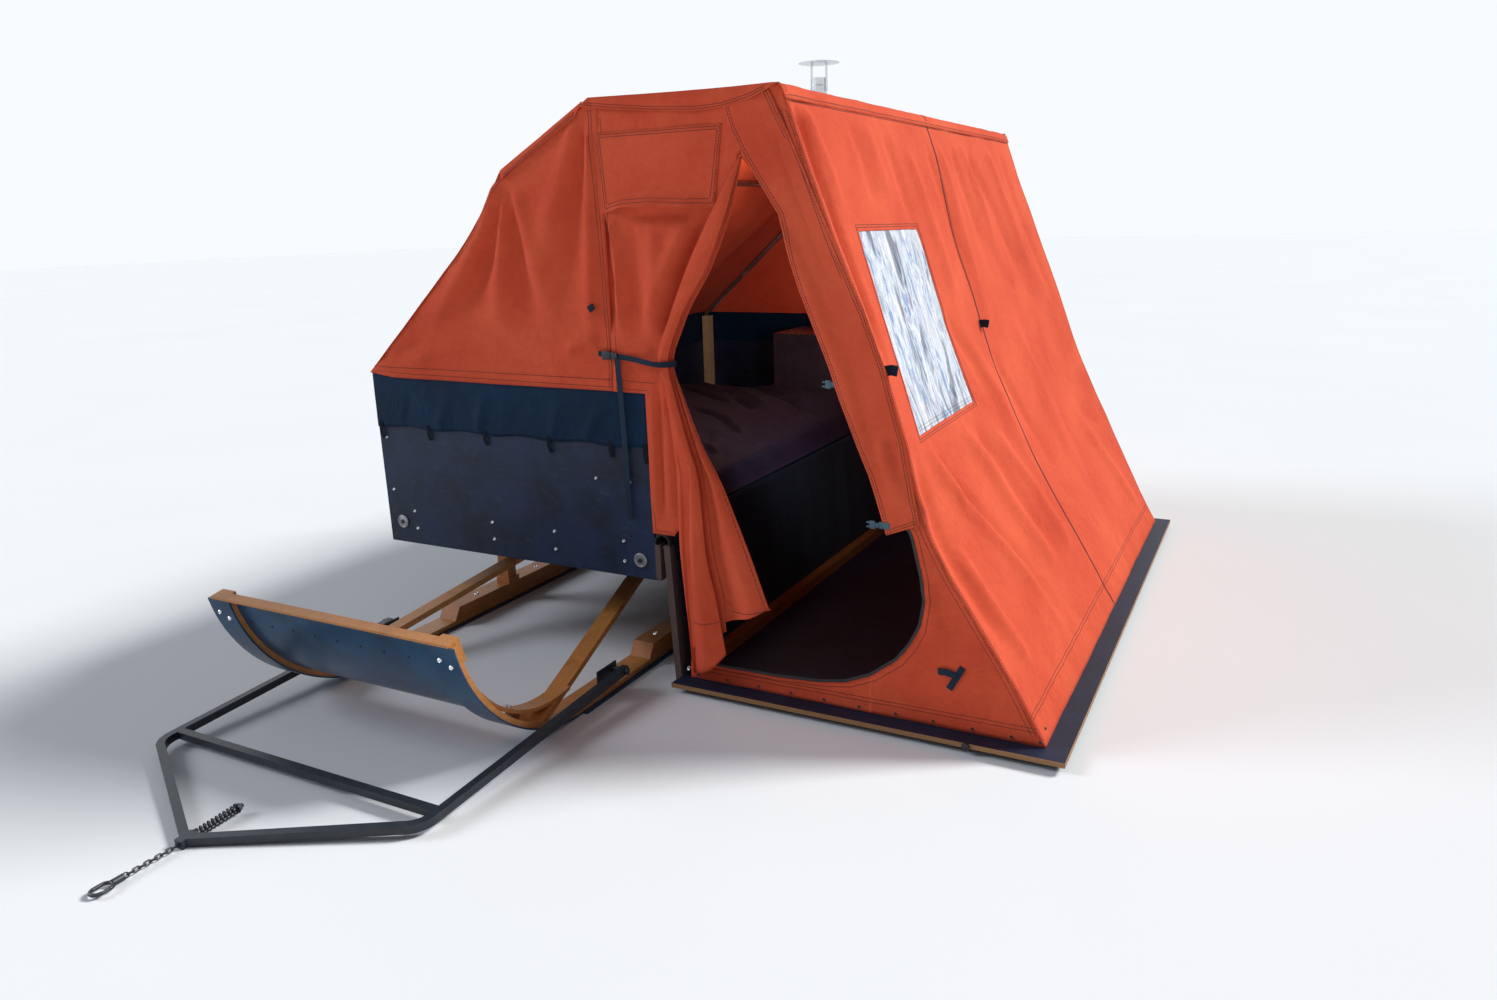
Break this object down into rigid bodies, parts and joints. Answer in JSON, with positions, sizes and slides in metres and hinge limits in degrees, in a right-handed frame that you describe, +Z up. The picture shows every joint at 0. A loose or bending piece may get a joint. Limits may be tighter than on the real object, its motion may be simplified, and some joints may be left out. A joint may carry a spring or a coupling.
{
  "type": "folding ice fishing hut on a sled",
  "caption": "Folding canvas ice fishing hut on a plywood box with a fold-out floor, carried by a wooden sled with a hinged tow bar.",
  "frame": {"origin": "middle of the whole part's outer box, on the ground", "axes": "+Z up, +Y from the tow hook to the rear of the hut, +X towards the fold-out floor"},
  "size_m": [2.586, 4.1626, 2.254],
  "materials": {
    "pale_wood": "laminated, oiled",
    "brown_wood": "oiled",
    "blue_plastic": "worn sheet plastic",
    "black_steel": "powder coated",
    "film_plywood": "phenolic film-faced plywood",
    "brown_board": "dark stained board",
    "bare_wood": "planed softwood",
    "batten_wood": "varnished",
    "hinge_rubber": "flexible strip",
    "mattress_cover": "smooth wrinkled cover",
    "cabinet_board": "dark board",
    "bright_metal": "polished stainless",
    "grey_tube": "anodised",
    "canvas": "tent canvas",
    "window_film": "clear crinkled film",
    "skirt_cloth": "coated cloth"
  },
  "bodies": {
    "hut": {"left_runner": "pale_wood", "right_runner": "pale_wood", "left_sole": "blue_plastic", "right_sole": "blue_plastic", "runner_timbers": "brown_wood", "nose_crossbar": "pale_wood", "nose_plate": "blue_plastic", "nose_stays": "pale_wood", "sled_posts": "brown_wood", "cross_beams": "brown_wood", "tow_brackets": "black_steel", "box_floor": "film_plywood", "front_wall": "film_plywood", "rear_wall": "film_plywood", "left_wall": "film_plywood", "right_low_wall": "brown_board", "corner_posts": "bare_wood", "hinge_strip": "hinge_rubber", "riser_board": "brown_board", "floor_panel": "film_plywood", "floor_battens": "brown_wood", "stop_batten_bar": "batten_wood", "bed_board": "film_plywood", "mattress": "mattress_cover", "stove_cabinet": "cabinet_board", "cabinet_top": "bright_metal", "stove_pipe": "bright_metal", "pipe_cap": "bright_metal", "frame_bows": "grey_tube", "long_tubes": "grey_tube", "canvas_front_left": "canvas", "canvas_front_middle": "canvas", "canvas_front_right": "canvas", "door_flap": "canvas", "storm_flap": "canvas", "vent_flap": "canvas", "canvas_rear": "canvas", "canvas_left": "canvas", "canvas_top": "canvas", "canvas_right_slope": "canvas", "side_window": "window_film", "skirt": "skirt_cloth"},
    "tow_bar": {"tow_side_bars": "black_steel", "tow_cross_tube": "black_steel", "tow_nose_plate": "black_steel", "hitch_rod": "black_steel", "hitch_spring": "black_steel", "tow_chain": "black_steel", "snap_hook": "black_steel"}
  },
  "joints": [
    {"name": "tow_bar_hinge", "type": "hinge", "parent": "hut", "child": "tow_bar", "pos_m": [-0.685, -0.6037, 0.08], "axis": [-1, 0, 0], "range_deg": [0, 75]}
  ]
}
